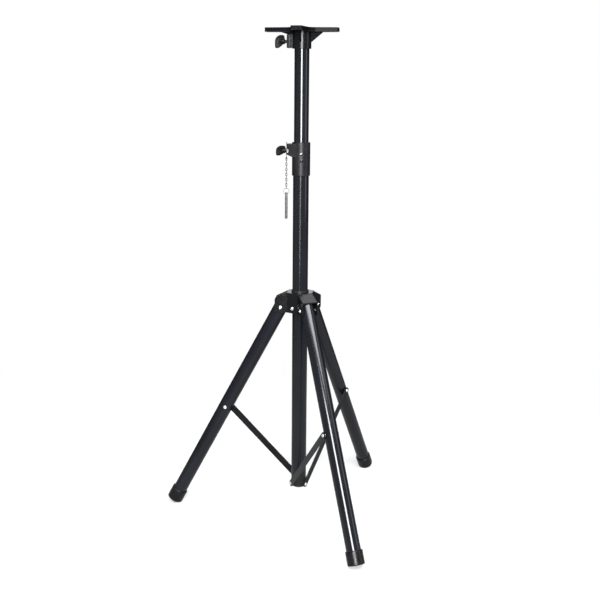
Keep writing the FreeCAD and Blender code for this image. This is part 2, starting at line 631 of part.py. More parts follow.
# ---- chain, ring and safety pin --------------------------------------------------------
def make_link():
    """One oval wire link in the YZ plane, centred at zero."""
    side = LINK_WIDTH / 2 - LINK_WIRE_R
    straight = LINK_PITCH / 2 + LINK_WIRE_R - side
    top = V(0, 0, straight)
    bottom = V(0, 0, -straight)
    upper = Part.Arc(top + V(0, -side, 0), top + V(0, 0, side), top + V(0, side, 0))
    lower = Part.Arc(bottom + V(0, side, 0), bottom + V(0, 0, -side), bottom + V(0, -side, 0))
    sides = [Part.LineSegment(top + V(0, side, 0), bottom + V(0, side, 0)),
             Part.LineSegment(bottom + V(0, -side, 0), top + V(0, -side, 0))]
    path = Part.Wire([upper.toShape(), sides[0].toShape(), lower.toShape(), sides[1].toShape()])
    wire = Part.Wire(Part.makeCircle(LINK_WIRE_R, top + V(0, -side, 0), Z_AXIS))
    return path.makePipeShell([wire], True, False)


def link_height(index):
    """Centre of a link, counted down from the tab."""
    first = CHAIN_HOLE_Z - CHAIN_HOLE_R + LINK_WIRE_R - LINK_PITCH / 2 + CHAIN_SLACK
    return first - index * (LINK_PITCH - CHAIN_SLACK)


def make_chain():
    links = []
    for index in range(LINK_COUNT):
        link = spin(make_link(), 90.0 * ((index + 1) % 2))
        links.append(move(link, x=CHAIN_X, z=link_height(index)))
    return Part.makeCompound(links)


def ring_height():
    """Centre of the split ring, hanging in the last link."""
    inside_last = link_height(LINK_COUNT - 1) - LINK_PITCH / 2
    return inside_last + RING_WIRE_R - RING_R + CHAIN_SLACK


def make_split_ring():
    """Ring in the XZ plane."""
    return Part.makeTorus(RING_R, RING_WIRE_R, V(CHAIN_X, 0, ring_height()), Y_AXIS)


def make_safety_pin():
    """Turned pin that hangs on the ring by the hole in its head."""
    eye = ring_height() - RING_R
    top = eye + PIN_EYE_DROP
    body = Part.makeCylinder(PIN_R, PIN_LENGTH, V(0, 0, top - PIN_LENGTH))
    body = rounded(body, PIN_EDGE_R, is_round)
    groove = Part.makeTorus(PIN_NECK_R, PIN_NECK_WIRE_R, V(0, 0, top - PIN_NECK_DROP))
    hole_z = eye + PIN_EYE_PLAY
    body = body.cut(groove).cut(rod(PIN_EYE_R, V(-BIG, 0, hole_z), V(BIG, 0, hole_z)))
    return move(body, x=CHAIN_X)


# ---- top bracket ------------------------------------------------------------------------
def tangent_point(point, centre, radius):
    """Where a line from a point touches a circle, on its low side."""
    away = point - centre
    swing = math.acos(radius / away.Length)
    bearing = math.atan2(away.y, away.x) - swing
    return centre + V(radius * math.cos(bearing), radius * math.sin(bearing), 0)


def plate_wire(z):
    """Four arms with flat tips, joined by round notches."""
    tip = V(ARM_TIP_R, ARM_TIP_HALF, 0)
    centre = V(ARM_NOTCH_CENTRE, ARM_NOTCH_CENTRE, 0)
    touch = tangent_point(tip, centre, ARM_NOTCH_R)
    deep = centre * (1 - ARM_NOTCH_R / centre.Length)
    edges = []
    for azimuth in ARM_AZIMUTHS:
        turn = FreeCAD.Rotation(Z_AXIS, azimuth)
        lift = V(0, 0, z)
        low_tip = turn.multVec(V(ARM_TIP_R, -ARM_TIP_HALF, 0)) + lift
        high_tip = turn.multVec(tip) + lift
        into_notch = turn.multVec(touch) + lift
        notch = turn.multVec(deep) + lift
        out_of_notch = turn.multVec(V(touch.y, touch.x, 0)) + lift
        next_tip = turn.multVec(V(ARM_TIP_HALF, ARM_TIP_R, 0)) + lift
        edges.append(Part.LineSegment(low_tip, high_tip).toShape())
        edges.append(Part.LineSegment(high_tip, into_notch).toShape())
        edges.append(Part.Arc(into_notch, notch, out_of_notch).toShape())
        edges.append(Part.LineSegment(out_of_notch, next_tip).toShape())
    return Part.Wire(edges)


def make_top_plate():
    """Cross-shaped plate with a turned-down rim and one hole in each arm."""
    outer = Part.Face(plate_wire(PLATE_Z1 - PLATE_DEPTH)).extrude(V(0, 0, PLATE_DEPTH))
    outer = rounded(outer, PLATE_CORNER_R, lambda e: is_along(e, Z_AXIS))
    outer = rounded(outer, PLATE_EDGE_R, lambda e: e.BoundBox.ZMin > PLATE_Z1 - 0.1)
    inner_wire = plate_wire(PLATE_Z1 - PLATE_DEPTH - 1).makeOffset2D(-PLATE_SHEET)
    inner = Part.Face(inner_wire).extrude(V(0, 0, PLATE_DEPTH - PLATE_SHEET + 1))
    plate = outer.cut(inner)
    for azimuth in ARM_AZIMUTHS:
        hole = Part.makeCylinder(PLATE_HOLE_R, BIG, V(PLATE_HOLE_PCD / 2, 0, PLATE_UNDER - PLATE_DEPTH))
        plate = plate.cut(spin(hole, azimuth))
    return plate


def make_top_socket():
    """Socket on the mast with a boss for the thumb screw."""
    body = Part.makeCylinder(SOCKET_R, PLATE_UNDER - SOCKET_Z0, V(0, 0, SOCKET_Z0))
    body = rounded(body, SOCKET_EDGE, lambda e: is_round(e)
                   and e.BoundBox.ZMax < SOCKET_Z0 + 1)
    ear = block(0, EAR_END, -EAR_HALF, EAR_HALF, EAR_Z0, EAR_Z1)
    ear = ear.fuse(block(EAR_BLOCK_X, EAR_END, 0, EAR_BLOCK_FRONT, EAR_Z0, EAR_Z1)).removeSplitter()
    ear = rounded(ear, EAR_FILLET_R, lambda e: e.BoundBox.XMin > EAR_BLOCK_X - 0.1
                  and (e.BoundBox.XMin > EAR_END - 0.1 or e.BoundBox.YMin > EAR_BLOCK_FRONT - 0.1))
    socket = body.fuse(spin(ear, EAR_AZIMUTH)).removeSplitter()
    socket = socket.cut(Part.makeCylinder(MAST_BORE_R, BIG, V(0, 0, SOCKET_Z0 - 1)))
    screw = rod(SCREW_R + RUN_FIT, V(0, 0, EAR_SCREW_Z), V(BIG, 0, EAR_SCREW_Z))
    pocket_end = MAST_R + PAD_BUTTON_THICK + CLAMP_TRAVEL
    pocket = rod(PAD_BUTTON_R + FREE_GAP, V(0, 0, EAR_SCREW_Z), V(pocket_end, 0, EAR_SCREW_Z))
    return socket.cut(spin(screw.fuse(pocket), EAR_AZIMUTH))


def make_gussets():
    """Four ribs between the socket and the arms; the one over the ear stops on it."""
    ribs = []
    for azimuth in ARM_AZIMUTHS:
        foot_r, foot_z = (EAR_END - 1.0, EAR_Z1) if azimuth == EAR_AZIMUTH else (SOCKET_R, GUSSET_FOOT_Z)
        profile = [(GUSSET_ROOT_R, PLATE_UNDER), (GUSSET_REACH, PLATE_UNDER), (GUSSET_REACH, GUSSET_TIP_Z),
                   (foot_r, foot_z), (GUSSET_ROOT_R, foot_z)]
        rib = slab(profile, -GUSSET_THICK / 2, GUSSET_THICK / 2)
        rib = rib.cut(Part.makeCylinder(SOCKET_R, BIG, V(0, 0, SOCKET_Z0)))
        ribs.append(spin(rib, azimuth))
    return Part.makeCompound(ribs)


# ---- build and write ------------------------------------------------------------------
def build():
    nodes = {
        "lower_tube": make_lower_tube(),
        "collar": make_collar(),
        "collar_nut": make_collar_nut(),
        "collar_rivet": make_collar_rivet(),
        "chain_tab": make_chain_tab(),
        "bottom_bracket": make_bottom_bracket(),
        "bottom_rivets": make_bottom_rivets(),
        "upper_tube": make_upper_tube(),
        "mast_plug": make_mast_plug(),
        "guide_bush": make_guide_bush(),
        "hub_shell": make_hub_shell(),
        "hub_core": make_hub_core(),
        "web_rivets": make_web_rivets(),
        "pivot_rivets": make_pivot_rivets(),
        "top_plate": make_top_plate(),
        "top_socket": make_top_socket(),
        "plate_gussets": make_gussets(),
        "chain_links": make_chain(),
        "split_ring": make_split_ring(),
        "safety_pin": make_safety_pin(),
    }
    clamps = (
        ("top", MAST_R, TOP_KNOB_T, TOP_KNOB_ROLL, EAR_SCREW_Z, EAR_AZIMUTH),
        ("collar", MAST_R, COLLAR_KNOB_T, COLLAR_KNOB_ROLL, COLLAR_SCREW_Z, 180.0),
        ("lock", LOWER_R, LOCK_KNOB_T, LOCK_KNOB_ROLL, LOCK_Z, LOCK_AZIMUTH),
    )
    for name, tube_r, start, roll, height, azimuth in clamps:
        place = (roll, height, azimuth)
        nodes[name + "_knob"] = screw_frame(make_knob(start), *place)
        nodes[name + "_screw"] = screw_frame(make_screw(tube_r + PAD_BUTTON_THICK, start), *place)
        nodes[name + "_clamp_pad"] = screw_frame(make_clamp_pad(tube_r), 0.0, height, azimuth)
    for name, azimuth in zip(LEG_NAMES, LEG_AZIMUTHS):
        nodes["leg_tube_" + name] = to_leg(make_leg_tube(), azimuth)
        nodes["leg_plug_" + name] = to_leg(make_leg_plug(), azimuth)
        nodes["foot_" + name] = to_leg(make_foot(), azimuth)
        nodes["leg_pin_" + name] = to_leg(make_leg_pin(), azimuth)
        nodes["brace_" + name] = brace_frame(make_brace(), azimuth)
        nodes["brace_stud_" + name] = brace_frame(make_brace_stud(), azimuth)
    return nodes


def main():
    os.makedirs("parts", exist_ok=True)
    for name, shape in build().items():
        shape.exportStep("parts/" + name + ".step")
        print(name, "solids", len(shape.Solids), "valid", shape.isValid(), "volume", round(shape.Volume))


main()
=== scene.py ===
import json
import math

import bmesh
import bpy
from mathutils import Matrix, Vector


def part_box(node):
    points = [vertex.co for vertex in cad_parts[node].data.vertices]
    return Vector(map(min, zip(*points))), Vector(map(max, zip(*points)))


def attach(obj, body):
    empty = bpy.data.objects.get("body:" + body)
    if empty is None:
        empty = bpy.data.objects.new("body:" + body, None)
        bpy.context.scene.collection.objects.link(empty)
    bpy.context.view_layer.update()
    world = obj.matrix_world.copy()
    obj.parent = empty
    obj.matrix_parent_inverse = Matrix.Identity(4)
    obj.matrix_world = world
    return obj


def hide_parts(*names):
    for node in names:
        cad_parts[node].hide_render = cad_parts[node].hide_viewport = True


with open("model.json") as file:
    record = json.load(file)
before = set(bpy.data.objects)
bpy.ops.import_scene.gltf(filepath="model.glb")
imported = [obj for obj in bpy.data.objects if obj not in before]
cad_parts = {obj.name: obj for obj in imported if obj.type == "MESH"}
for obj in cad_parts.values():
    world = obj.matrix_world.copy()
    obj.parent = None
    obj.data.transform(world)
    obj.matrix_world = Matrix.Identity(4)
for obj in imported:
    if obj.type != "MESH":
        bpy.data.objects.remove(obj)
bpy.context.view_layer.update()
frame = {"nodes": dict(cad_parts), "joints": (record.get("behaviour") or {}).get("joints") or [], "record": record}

# The looks of a speaker tripod stand, in metres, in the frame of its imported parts.
# Sizes of small parts are in millimetres and are scaled when their mesh is made.

MM = 0.001
X_AXIS = Vector((1, 0, 0))
Y_AXIS = Vector((0, 1, 0))
Z_AXIS = Vector((0, 0, 1))
NODES = frame["nodes"]
JOINTS = {joint["name"]: joint for joint in frame["joints"]}
LEG_NAMES = ("left", "front", "right")
SMOOTH_ANGLE = math.radians(32)
ROUND_STEPS = 40

# ---- driving sizes, in millimetres ------------------------------------------------
SPREAD = math.radians(27.9)
BRACE_PIN_DOWN_LEG = 304.5
LEG_R = 17.5
BRACE_INNER = 19.6
BRACE_OUTER = 22.6
OPEN_GAP = 0.3
HEAD_PLAY = 0.2
WING_HALF = 20.8
WEB_R = 33.2
HEAD_R = 4.5
HEAD_H = 2.0
PIN_R = 3.0
PIVOT_PIN_R = 4.0
BRACKET_HOLE_ROOT = 10.0
WEB_RIVET_ROOT = 23.05

SCREW_R = 4.0
SCREW_DEPTH = 9.0
THREAD_PITCH = 1.25
THREAD_DEPTH = 0.55
PAD_THICK = 2.0
STUD_GAP = 0.15
KNOB_BOW_R = 15.0
KNOB_BOW_X = 8.0
KNOB_TIP_X = 13.5
KNOB_INNER_LOW = -3.0
KNOB_HUB_R = 6.2
KNOB_HUB_START = -0.8
KNOB_HUB_END = 12.2
CLAMPS = {
    "top": {"start": 40.8, "roll": 0.0, "tube_r": 17.5},
    "collar": {"start": 37.2, "roll": 51.0, "tube_r": 17.5},
    "lock": {"start": 38.5, "roll": 70.0, "tube_r": 19.05},
}
KNOB_MIDDLE = Vector((11.5, 0.0))
KNOB_RIM = [(1.0, 0.0), (0.992, 1.5), (0.965, 2.6), (0.915, 3.5), (0.85, 3.95), (0.78, 4.0), (0.70, 3.75),
            (0.60, 3.2), (0.45, 2.9), (0.25, 2.8)]
KNOB_VOXEL = 0.42
KNOB_SMOOTH_STEPS = 5
RING_WIRE_R = 0.36
RING_TURNS = 1.9

# ---- stage, in metres ---------------------------------------------------------------
BACKDROP = (1.0, 1.0, 1.0)
AMBIENT = (0.88, 0.92, 1.0)
FLOOR_REACH = 60.0
# painted floor glow: the floor glows for the object's rays though it is no lamp, brighter near the stand
FLOOR_GLOW_NEAR = 0.55               # what the object reflects of the floor near it,
FLOOR_GLOW_FAR = 0.32                # further off,
FLOOR_GLOW_BEHIND = 0.25             # and behind it, as a share of the floor in front
FRONT_GLOW = 0.26
BACK_GLOW = 0.05
CAMERA_PLACE = (0, -2.1588, 1.0865)
CAMERA_PITCH = math.radians(13.66)
CAMERA_ROLL = math.radians(0.45)
CAMERA_LENS = 53.69
SENSOR_WIDTH = 36.0
LIGHTS = (                      # name, place, target, size, radiance
    ("main_box", (-0.05, -3.0, 1.35), (0, 0, 1.2), (1.05, 1.3), 30.0),
    ("low_strip", (-0.42, -3.0, 0.36), (0, 0, 0.6), (0.2, 0.66), 15.0),
    ("top_box", (0.0, -1.75, 2.55), (0, 0, 0.6), (3.2, 1.4), 12.0),
    ("ceiling_box", (0.6, 1.0, 3.0), (0, 0, 0.57), (1.6, 1.6), 3.0),
    ("right_fill", (2.9, -0.8, 1.2), (0, 0, 0.5), (1.0, 1.8), 1.6),
    ("rear_strip", (0.0, 3.0, 1.2), (0, 0, 0.6), (0.8, 2.0), 1.5),
)


# ---- node graphs ---------------------------------------------------------------
class Graph:
    """One material, with short calls for the nodes it needs."""

    def __init__(self, name):
        self.material = bpy.data.materials.new(name)
        self.material.use_nodes = True
        self.tree = self.material.node_tree
        self.shader = self.tree.nodes["Principled BSDF"]
        self.place = self.add("ShaderNodeTexCoord").outputs["Object"]

    def add(self, kind, **settings):
        node = self.tree.nodes.new(kind)
        for key, value in settings.items():
            setattr(node, key, value)
        return node

    def join(self, source, socket):
        self.tree.links.new(source, socket)

    def fixed(self, **values):
        """Plain numbers and colours on the shader's own sockets."""
        for key, value in values.items():
            self.shader.inputs[key.replace("_", " ")].default_value = value

    def aligned(self, axis, stretch):
        """Coordinates whose Z runs along an axis, scaled on each of their axes."""
        turn = self.add("ShaderNodeMapping", vector_type="POINT")
        to_axis = axis.rotation_difference(Z_AXIS).to_euler()
        turn.inputs["Rotation"].default_value = to_axis
        self.join(self.place, turn.inputs["Vector"])
        scaled = self.add("ShaderNodeMapping", vector_type="POINT")
        scaled.inputs["Scale"].default_value = stretch
        self.join(turn.outputs["Vector"], scaled.inputs["Vector"])
        return scaled.outputs["Vector"]

    def noise(self, scale, detail=3.0, roughness=0.5, vector=None):
        node = self.add("ShaderNodeTexNoise")
        self.join(vector or self.place, node.inputs["Vector"])
        node.inputs["Scale"].default_value = scale
        node.inputs["Detail"].default_value = detail
        node.inputs["Roughness"].default_value = roughness
        return node.outputs["Fac"]

    def grains(self, scale):
        """Distance to the nearest of many scattered points."""
        node = self.add("ShaderNodeTexVoronoi")
        self.join(self.place, node.inputs["Vector"])
        node.inputs["Scale"].default_value = scale
        return node.outputs["Distance"]

    def remap(self, value, low, high, to_low=0.0, to_high=1.0):
        node = self.add("ShaderNodeMapRange", interpolation_type="SMOOTHSTEP")
        self.join(value, node.inputs["Value"])
        node.inputs["From Min"].default_value = low
        node.inputs["From Max"].default_value = high
        node.inputs["To Min"].default_value = to_low
        node.inputs["To Max"].default_value = to_high
        return node.outputs["Result"]

    def maths(self, operation, first, second):
        node = self.add("ShaderNodeMath", operation=operation)
        for socket, value in zip(node.inputs, (first, second)):
            if isinstance(value, (int, float)):
                socket.default_value = value
            else:
                self.join(value, socket)
        return node.outputs["Value"]

    def tint(self, share, first, second):
        """A colour between two, by a share."""
        node = self.add("ShaderNodeMix", data_type="RGBA")
        self.join(share, node.inputs["Factor"])
        for socket, colour in ((node.inputs["A"], first), (node.inputs["B"], second)):
            if isinstance(colour, tuple):
                socket.default_value = (*colour, 1.0)
            else:
                self.join(colour, socket)
        return node.outputs["Result"]

    def edges(self, radius):
        """1 on sharp outer and inner corners, 0 on flats."""
        bevel = self.add("ShaderNodeBevel", samples=4)
        bevel.inputs["Radius"].default_value = radius
        geometry = self.add("ShaderNodeNewGeometry")
        dot = self.add("ShaderNodeVectorMath", operation="DOT_PRODUCT")
        self.join(bevel.outputs["Normal"], dot.inputs[0])
        self.join(geometry.outputs["Normal"], dot.inputs[1])
        return self.remap(dot.outputs["Value"], 0.985, 0.80, 0.0, 1.0)

    def bump(self, height, distance, strength=1.0, normal=None):
        node = self.add("ShaderNodeBump")
        node.inputs["Distance"].default_value = distance
        node.inputs["Strength"].default_value = strength
        self.join(height, node.inputs["Height"])
        if normal:
            self.join(normal, node.inputs["Normal"])
        return node.outputs["Normal"]

    def finish(self, colour, roughness, normal):
        for value, socket in ((colour, "Base Color"), (roughness, "Roughness"), (normal, "Normal")):
            self.join(value, self.shader.inputs[socket])
        return self.material


# ---- materials -------------------------------------------------------------------
TINT_RANGE = (0.3, 0.7)         # noise over which a colour goes from one to the other
SHEEN_RANGE = (0.25, 0.75)      # noise over which a gloss does
GLOSSIER = 0.88
DULLER = 1.15


def gloss_tube_paint(name, axis, roughness):
    """Gloss black on drawn tube: orange peel, faint draw lines, scuffs and dust."""
    graph = Graph(name)
    lines = graph.noise(420.0, 4.0, 0.6, graph.aligned(axis, (1.0, 1.0, 0.010)))
    peel = graph.noise(150.0, 2.0)
    clouds = graph.noise(9.0, 4.0, 0.6)
    scuffs = graph.noise(38.0, 6.0, 0.75, graph.aligned(axis, (1.0, 1.0, 0.22)))
    scuff = graph.remap(scuffs, 0.62, 0.76)
    paint = graph.tint(graph.remap(clouds, *TINT_RANGE), (0.0036, 0.0040, 0.0060), (0.0056, 0.0062, 0.0092))
    dusty = graph.tint(graph.maths("MULTIPLY", scuff, 0.20), paint, (0.022, 0.022, 0.024))
    # corners lightened: edge wear, and a painted highlight along them
    worn_and_highlit = graph.tint(graph.maths("MULTIPLY", graph.edges(0.7 * MM), 0.4), dusty, (0.07, 0.07, 0.07))
    sheen = graph.remap(clouds, *SHEEN_RANGE, roughness * GLOSSIER, roughness * DULLER)
    dulled = graph.maths("ADD", sheen, graph.maths("MULTIPLY", scuff, 0.07))
    relief = graph.bump(lines, 0.0035 * MM, 0.5, graph.bump(peel, 0.006 * MM, 0.12))
    graph.fixed(Specular_IOR_Level=0.5)
    return graph.finish(worn_and_highlit, dulled, relief)


def powder_coat(name, light, dark, roughness, gloss):
    """Satin powder coat: fine pimpled skin, a little brighter on corners: rubbed wear and a painted highlight."""
    graph = Graph(name)
    skin = graph.noise(900.0, 3.0, 0.55)
    clouds = graph.noise(24.0, 5.0, 0.65)
    rub = graph.noise(140.0, 6.0, 0.7)
    # corners lightened: rubbed wear, and a painted highlight along the edges
    corner = graph.maths("MULTIPLY", graph.edges(0.9 * MM), graph.remap(rub, 0.35, 0.62))
    paint = graph.tint(graph.remap(clouds, *TINT_RANGE), dark, light)
    worn_and_highlit = graph.tint(graph.maths("MULTIPLY", corner, 0.45), paint, (0.11, 0.11, 0.115))
    sheen = graph.remap(clouds, *SHEEN_RANGE, roughness * GLOSSIER, roughness * DULLER)
    relief = graph.bump(skin, 0.030 * MM, 0.5, graph.bump(clouds, 0.10 * MM, 0.2))
    graph.fixed(Specular_IOR_Level=gloss)
    return graph.finish(worn_and_highlit, sheen, relief)


def moulded_plastic(name, light, dark, roughness, grain, gloss):
    """Spark-textured moulded plastic, a little shinier where it is handled."""
    graph = Graph(name)
    texture = graph.grains(grain)
    clouds = graph.noise(30.0, 4.0, 0.6)
    handled = graph.remap(graph.noise(70.0, 5.0, 0.7), 0.5, 0.72)
    paint = graph.tint(graph.remap(clouds, *TINT_RANGE), dark, light)
    # corners lightened: rubbed wear, and a painted highlight along the edges
    corner = graph.maths("MULTIPLY", graph.edges(0.6 * MM), 0.30)
    worn_and_highlit = graph.tint(corner, paint, (0.06, 0.06, 0.06))
    sheen = graph.maths("SUBTRACT", graph.remap(clouds, *SHEEN_RANGE, roughness, roughness * DULLER),
                        graph.maths("MULTIPLY", handled, 0.08))
    graph.fixed(Specular_IOR_Level=gloss)
    return graph.finish(worn_and_highlit, sheen, graph.bump(texture, 0.05 * MM, 0.5))


def rubber(name):
    """Moulded rubber with a faint bloom, and floor dust worked into its sole."""
    graph = Graph(name)
    pores = graph.noise(1300.0, 4.0, 0.6)
    bloom = graph.noise(60.0, 5.0, 0.65)
    height = graph.add("ShaderNodeSeparateXYZ")
    graph.join(graph.place, height.inputs["Vector"])
    low = graph.remap(height.outputs["Z"], 7 * MM, 0.0)
    dirt = graph.maths("MULTIPLY", low, graph.remap(bloom, 0.35, 0.65))
    paint = graph.tint(graph.remap(bloom, *TINT_RANGE), (0.0030, 0.0030, 0.0035), (0.0060, 0.0060, 0.0065))
    dusty = graph.tint(graph.maths("MULTIPLY", dirt, 0.3), paint, (0.030, 0.028, 0.026))
    graph.fixed(Specular_IOR_Level=0.30)
    sheen = graph.remap(bloom, *TINT_RANGE, 0.26, 0.34)
    return graph.finish(dusty, sheen, graph.bump(pores, 0.012 * MM, 0.5))


def bright_plate(name, colour, dull_colour, roughness):
    """Bright plated steel with fine scratches and a few dull patches."""
    graph = Graph(name)
    scratches = graph.noise(2400.0, 3.0, 0.6, graph.aligned(X_AXIS, (1.0, 0.2, 0.2)))
    patches = graph.noise(180.0, 5.0, 0.65)
    dull = graph.remap(patches, 0.52, 0.72)
    graph.fixed(Metallic=1.0)
    sheen = graph.maths("ADD", graph.remap(scratches, *TINT_RANGE, roughness * 0.8, roughness * 1.25),
                        graph.maths("MULTIPLY", dull, 0.12))
    return graph.finish(graph.tint(dull, colour, dull_colour), sheen,
                        graph.bump(scratches, 0.008 * MM, 0.6))


def nylon(name):
    """Plain dark nylon, slightly waxy."""
    graph = Graph(name)
    skin = graph.noise(700.0, 3.0)
    clouds = graph.noise(45.0, 4.0)
    paint = graph.tint(graph.remap(clouds, *TINT_RANGE), (0.040, 0.040, 0.041), (0.062, 0.062, 0.062))
    graph.fixed(Specular_IOR_Level=0.45)
    return graph.finish(paint, graph.remap(clouds, *TINT_RANGE, 0.40, 0.52), graph.bump(skin, 0.03 * MM, 0.5))


SATIN_BLACK = {"light": (0.0050, 0.0052, 0.0060), "dark": (0.0032, 0.0034, 0.0040)}
COLLAR_BLACK = {"light": (0.009, 0.009, 0.011), "dark": (0.005, 0.005, 0.006)}
MOULDED_BLACK = {"light": (0.009, 0.009, 0.010), "dark": (0.006, 0.006, 0.007)}
KNOB_BLACK = {"light": (0.0045, 0.0045, 0.0050), "dark": (0.0028, 0.0028, 0.0032)}
MATERIALS = {
    "satin_black_metal": powder_coat("satin_black_metal", **SATIN_BLACK, roughness=0.22, gloss=0.26),
    "plate": powder_coat("plate_coat", **SATIN_BLACK, roughness=0.28, gloss=0.03),
    "collar": powder_coat("collar_moulding", **COLLAR_BLACK, roughness=0.36, gloss=0.28),
    "black_moulding": moulded_plastic(
        "black_moulding", **MOULDED_BLACK, roughness=0.40, grain=1500.0, gloss=0.36),
    "knob_plastic": moulded_plastic("knob_plastic", **KNOB_BLACK, roughness=0.32, grain=1900.0, gloss=0.09),
    "foot_rubber": rubber("foot_rubber"),
    "zinc_steel": bright_plate("zinc_steel", (0.84, 0.84, 0.84), (0.68, 0.68, 0.67), roughness=0.40),
    "chain_steel": bright_plate("chain_steel", (0.030, 0.030, 0.032), (0.018, 0.018, 0.019), roughness=0.30),
    "stud": bright_plate("stud_steel", (0.10, 0.10, 0.10), (0.06, 0.06, 0.06), roughness=0.48),
    "nut": bright_plate("nut_steel", (0.30, 0.30, 0.31), (0.20, 0.20, 0.20), roughness=0.55),
    "pin": bright_plate("pin_steel", (0.14, 0.14, 0.145), (0.11, 0.11, 0.11), roughness=0.48),
    "nylon": nylon("nylon"),
}
UPPER_TUBE_ROUGHNESS = 0.09
LOWER_TUBE_ROUGHNESS = 0.12
LEG_TUBE_ROUGHNESS = 0.13
SPECIAL_LOOKS = {"top_plate": "plate", "plate_gussets": "plate", "collar": "collar",
                 "collar_nut": "nut", "safety_pin": "pin"}


def leg_down(name):
    """Unit vectors of a leg: outward from the column, and down along the tube."""
    pivot = Vector(JOINTS["leg_fold_" + name]["pos_m"])
    outward = Vector((pivot.x, pivot.y, 0)).normalized()
    return outward, outward * math.sin(SPREAD) - Z_AXIS * math.cos(SPREAD)


def material_for(node, slot):
    """The material that a CAD node shows."""
    if node == "upper_tube":
        return gloss_tube_paint("upper_tube_paint", Z_AXIS, UPPER_TUBE_ROUGHNESS)
    if node == "lower_tube":
        return gloss_tube_paint("lower_tube_paint", Z_AXIS, LOWER_TUBE_ROUGHNESS)
    if node.startswith("leg_tube_"):
        down = leg_down(node.rsplit("_", 1)[1])[1]
        return gloss_tube_paint(node + "_paint", -down, LEG_TUBE_ROUGHNESS)
    return MATERIALS[SPECIAL_LOOKS.get(node, slot)]


def dress_frame():
    """Give every CAD node its material."""
    for entry in frame["record"]["subparts"]:
        piece = NODES[entry["node"]]
        piece.data.materials.clear()
        piece.data.materials.append(material_for(entry["node"], entry["material_slot"]))


# ---- mesh tools --------------------------------------------------------------------
def stand_at(origin, axis, roll=0.0):
    """Matrix that carries a shape built on +Z, in millimetres, to a place in metres."""
    turn = Z_AXIS.rotation_difference(Vector(axis)).to_matrix().to_4x4()
    return Matrix.Translation(origin) @ turn @ Matrix.Rotation(roll, 4, "Z") @ Matrix.Scale(MM, 4)


def ring_of(mesh, radius, height, steps, placed):
    """One ring of vertices, or a single one on the axis."""
    if radius == 0:
        return [mesh.verts.new(placed @ Vector((0, 0, height)))]
    turns = [2 * math.pi * step / steps for step in range(steps)]
    points = [Vector((radius * math.cos(turn), radius * math.sin(turn), height)) for turn in turns]
    return [mesh.verts.new(placed @ point) for point in points]


def bridge(mesh, first, second):
    """Faces between two rings that follow each other."""
    steps = max(len(first), len(second))
    for step in range(steps):
        after = (step + 1) % steps
        corners = [first[step % len(first)], first[after % len(first)],
                   second[after % len(second)], second[step % len(second)]]
        mesh.faces.new(list(dict.fromkeys(corners)))


def turned(mesh, profile, placed, steps=ROUND_STEPS):
    """A turned solid from (radius, height) points, the first and last on the axis."""
    rings = [ring_of(mesh, radius, height, steps, placed) for radius, height in profile]
    for first, second in zip(rings, rings[1:]):
        bridge(mesh, first, second)


def piece_from(mesh, name, body, slot, nodes, material=None):
    """Make an object of a finished bmesh, and hand it to the frame."""
    bmesh.ops.recalc_face_normals(mesh, faces=mesh.faces[:])
    data = bpy.data.meshes.new(name)
    mesh.to_mesh(data)
    mesh.free()
    for face in data.polygons:
        face.use_smooth = True
    data.set_sharp_from_angle(angle=SMOOTH_ANGLE)
    data.materials.append(material or MATERIALS[slot])
    piece = bpy.data.objects.new(name, data)
    bpy.context.scene.collection.objects.link(piece)
    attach(piece, body)
    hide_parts(*nodes)
    return piece


# ---- rivets -----------------------------------------------------------------------------
def rivet(mesh, origin, axis, start, shoulder, pin_r, second_head=False):
    """A semi-tubular rivet along an axis: domed rim, hollow middle, shank behind it."""
    crown = [(HEAD_R, 0.0), (HEAD_R, 0.35), (HEAD_R * 0.96, 0.75), (HEAD_R * 0.86, 1.25),
             (HEAD_R * 0.70, 1.72), (HEAD_R * 0.55, HEAD_H), (HEAD_R * 0.43, HEAD_H * 0.95),
             (HEAD_R * 0.36, 1.55), (HEAD_R * 0.33, 0.75), (HEAD_R * 0.24, 0.45), (0.0, 0.40)]
    head = [(radius, shoulder + height) for radius, height in crown]
    if second_head:
        tail = [(radius, start - height) for radius, height in reversed(crown)]
    else:
        tail = [(0.0, start), (pin_r * 0.8, start), (pin_r, start + 0.4)]
    shank = [(pin_r, shoulder)]
    if second_head:
        shank = [(pin_r, start), (pin_r, shoulder)]
    turned(mesh, tail + shank + head, stand_at(origin, axis))


